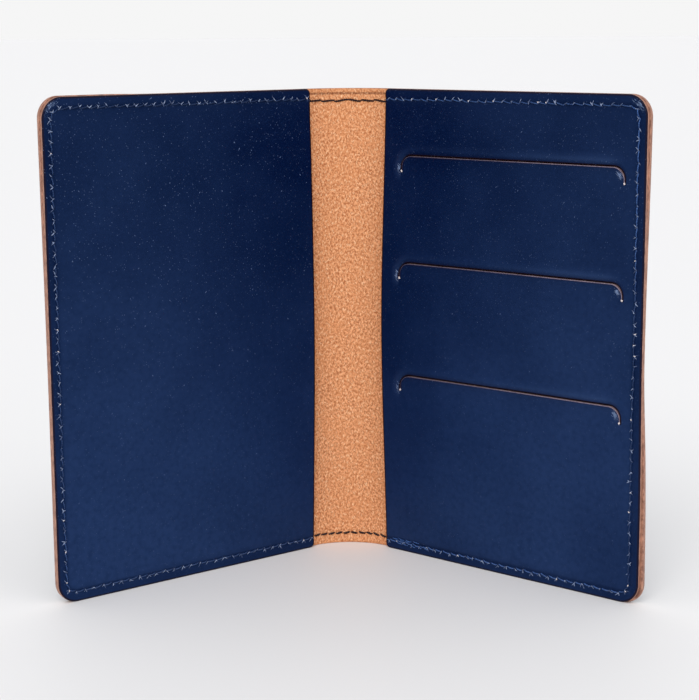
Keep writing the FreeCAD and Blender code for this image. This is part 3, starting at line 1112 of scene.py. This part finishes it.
def hole_lips(name, kind):
    """The torn lips of the needle holes on a grain face, and fibres in some of them."""
    side = SIDES[name]
    random = np.random.default_rng(57 + side + (5 if kind == "needle" else 0))
    start_along = {"needle": ARC_LENGTH + 0.4, "bobbin": 0.5}[kind]
    torn, fibres = 0, 1
    ridge_rise = 0.03
    fibre_rise = 0.08
    tubes = []
    for hole, ground in zip(HOLES[name], ground_at(HOLES[name], name, kind)):
        if hole[0] < start_along:
            continue
        ridge_height = ground + TOWARD[kind] * ridge_rise
        fibre_height = ground + TOWARD[kind] * fibre_rise
        outward = outward_at(hole)
        spread = random.uniform(0.45, 1.0)
        on_top = hole[1] > HEIGHT - 2 * SEAM_INSET
        longest = 1.5
        missing = {-1: 0.13, 1: 0.13}
        if name == "back" and on_top:
            missing[1] = 0.85
        elif name == "back" and outward == 0:
            missing = {-1: 0.25, 1: 0.25}
            outward += math.pi * round(random.random())
            longest = 1.0 + 0.3 * smooth((hole[1] - 15) / 30)
        for arm in (-1, 1):
            if random.random() < missing[arm]:
                continue
            start = hole + random.uniform(-0.12, 0.12, 2)
            turn = outward + arm * spread + random.uniform(-0.35, 0.35)
            length = random.uniform(0.7, longest)
            width = random.uniform(0.09, 0.16)
            bend = random.uniform(-0.15, 0.15)
            tubes.append(stroke(start, turn, length, bend, ridge_height, width, torn))
        if random.random() < 0.6:
            turn = outward + math.pi + random.uniform(-1.2, 1.2)
            length = random.uniform(0.3, 0.6)
            tubes.append(stroke(hole, turn, length, 0.05, ridge_height, 0.11, torn))
        if random.random() < (0.08 if on_top else 0.14):
            turn = outward + random.uniform(-0.9, 0.9)
            length = random.uniform(0.35, 0.65)
            tubes.append(stroke(hole, turn, length, 0.1, fibre_height, 0.14, fibres))
    return build(f"{kind}_holes_{name}", *gather(tubes), [TORN, FIBRES], side)


def back_tack():
    """The end of the seam, sewn back over itself beside the spine."""
    random = np.random.default_rng(83)
    # Each row's height over the seam, and how far in it starts and ends on the tack
    rows = ((0.95, 0.0, 4.5), (0.4, 1.0, 6.0), (-0.45, 1.6, 1.5))
    tubes = []
    for offset, from_start, from_end in rows:
        up = LOW_SEAM_INSET["back"] + offset
        along = ARC_LENGTH + TACK_SPAN[0] + from_start
        while along < ARC_LENGTH + TACK_SPAN[1] - from_end:
            reach = random.uniform(1.9, 2.8)
            first = np.array([along, up + random.uniform(0.0, 0.5)])
            last = np.array([along + reach, up - random.uniform(0.1, 0.6)])
            ground = ground_at(np.array([first, last]), "back", "needle")
            slant = random.uniform(-0.3, 0.3)
            line = stitch_line(first, last, ground, slant, TOWARD["needle"], dip=0.6)
            tubes += twisted(line, 0.8 * THREAD_RADIUS, random.uniform(0, 6))
            along += reach + random.uniform(-0.2, 0.7)
    points, faces, tags = gather(tubes)
    # The tack gets the full painted highlight.
    values = {"thread_highlight": np.ones(len(points))}
    return build("back_tack_thread", points, faces, tags, [THREAD], SIDES["back"], values)


def slot_fibres():
    """The fibres that fray out of the ends of the card slots."""
    random = np.random.default_rng(5)
    fibre_count = 11
    taper = np.array([1, 1, 0.9, 0.7, 0.3])
    share = np.linspace(0, 1, len(taper))[:, None]
    arch = 0.14 * np.sin(math.pi * np.linspace(0.1, 1, len(taper))) - 0.06
    tubes = []
    for height, start in zip(SLOT_HEIGHTS, SLOT_STARTS):
        for end in (start, SLOT_END):
            tip = np.array([ARC_LENGTH + end, height - SLOT_RADIUS - SLOT_TAIL - 0.1])
            base = ground_at(tip[None], "back", "needle")[0]
            for _ in range(fibre_count):
                turn = random.uniform(0, 2 * math.pi)
                arm = np.array([math.cos(turn), math.sin(turn)]) * random.uniform(0.2, 0.5)
                line = np.column_stack([tip + share * arm, base - arch])
                tubes.append(tube(line, taper * random.uniform(0.09, 0.14)))
    return build("card_slot_fibres", *gather(tubes), [FIBRES], SIDES["back"])


# Camera, light and floor

CAMERA_PLACE = Vector((10.0, -517.5, 163.2)) * MM
CAMERA_YAW = 1.04
CAMERA_PITCH = -10.35
CAMERA_ROLL = 0.32
CAMERA_LENS = 90.7


def turned(*turns):
    """A rotation by each (degrees, axis), every one about the axes as turned so far."""
    matrix = Matrix()
    for degrees, axis in turns:
        matrix = matrix @ Matrix.Rotation(math.radians(degrees), 4, axis)
    return matrix


def make_camera():
    data = bpy.data.cameras.new("camera")
    data.lens = CAMERA_LENS
    data.clip_start = 0.01
    made = put("camera", data)
    turn = turned((CAMERA_YAW, "Z"), (90 + CAMERA_PITCH, "X"), (-CAMERA_ROLL, "Z"))
    made.matrix_world = Matrix.Translation(CAMERA_PLACE) @ turn
    bpy.context.scene.camera = made


def sun(name, azimuth, elevation, strength, spread, tint):
    """Soft light from a direction, as degrees round from -Y and up from the floor."""
    data = bpy.data.lights.new(name, "SUN")
    data.energy = strength
    data.angle = math.radians(spread)
    data.color = tint
    put(name, data).matrix_world = turned((azimuth, "Z"), (90 - elevation, "X"))


def make_floor():
    """A plain, pale floor."""
    reach = 30.0               # metres
    corners = [(-reach, -reach, 0), (reach, -reach, 0), (reach, reach, 0), (-reach, reach, 0)]
    mesh = bpy.data.meshes.new("floor")
    mesh.from_pydata(corners, [], [(0, 1, 2, 3)])
    material, _ = new_material("pale_floor")
    mesh.materials.append(finish(material, (0.8, 0.795, 0.805, 1), 0.6))
    put("floor", mesh)


def make_surroundings():
    """A pale surrounding that lights the holder, and a lighter backdrop behind it."""
    world = bpy.data.worlds.new("surroundings")
    world.use_nodes = True
    tree = world.node_tree
    around = tree.nodes["Background"]
    feed(tree, around, {"Color": (0.95, 0.96, 0.97, 1), "Strength": 0.82})
    backdrop = add(tree, "Background", {"Color": (1.0, 1.0, 1.0, 1), "Strength": 0.92})
    seen = add(tree, "LightPath").outputs["Is Camera Ray"]
    both = add(tree, "MixShader", {
        "Fac": seen, 1: around.outputs["Background"], 2: backdrop.outputs["Background"]})
    feed(tree, tree.nodes["World Output"], {"Surface": both.outputs["Shader"]})
    bpy.context.scene.world = world


def make_light():
    """A key light from the front and a weak fill from the right."""
    sun("key", azimuth=-9, elevation=44, strength=1.5, spread=40, tint=(1.0, 0.985, 0.965))
    sun("fill", azimuth=40, elevation=35, strength=0.35, spread=60, tint=(0.96, 0.98, 1.0))
    bpy.context.scene.view_settings.view_transform = "Standard"


make_camera()
make_floor()
make_surroundings()
make_light()

leathers = {name: outer_leather(name) for name in SIDES}
pockets = {name: pocket(name) for name in SIDES}
threads = {(kind, name): seam_thread(name, kind) for kind in TOWARD for name in SIDES}
lips = {(kind, name): hole_lips(name, kind) for kind in TOWARD for name in SIDES}
tack = back_tack()
tufts = slot_fibres()

# Riding: the pockets, the inner hole lips, the tack and the slot fibres hang on the covers' bodies;
# what crosses the spine keeps its place, with its transform baked in
for name, side in SIDES.items():
    bending = [leathers[name], threads["needle", name], threads["bobbin", name], lips["bobbin", name]]
    for piece in bending:
        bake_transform(piece)
    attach(pockets[name], f"{name}_cover")
    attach(lips["needle", name], f"{name}_cover")
    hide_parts(f"outer_cover_{name}", "outer_cover_spine")
    for kind in TOWARD:
        runs = [f"{kind}_thread_{name}_{edge}" for edge in ("top", "side", "bottom")]
        spine_runs = [f"{kind}_thread_spine_{edge}" for edge in ("top", "bottom")]
        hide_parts(*runs, *spine_runs)
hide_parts("passport_pocket")
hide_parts("card_pocket")
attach(tack, "back_cover")
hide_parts("back_tack")
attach(tufts, "back_cover")
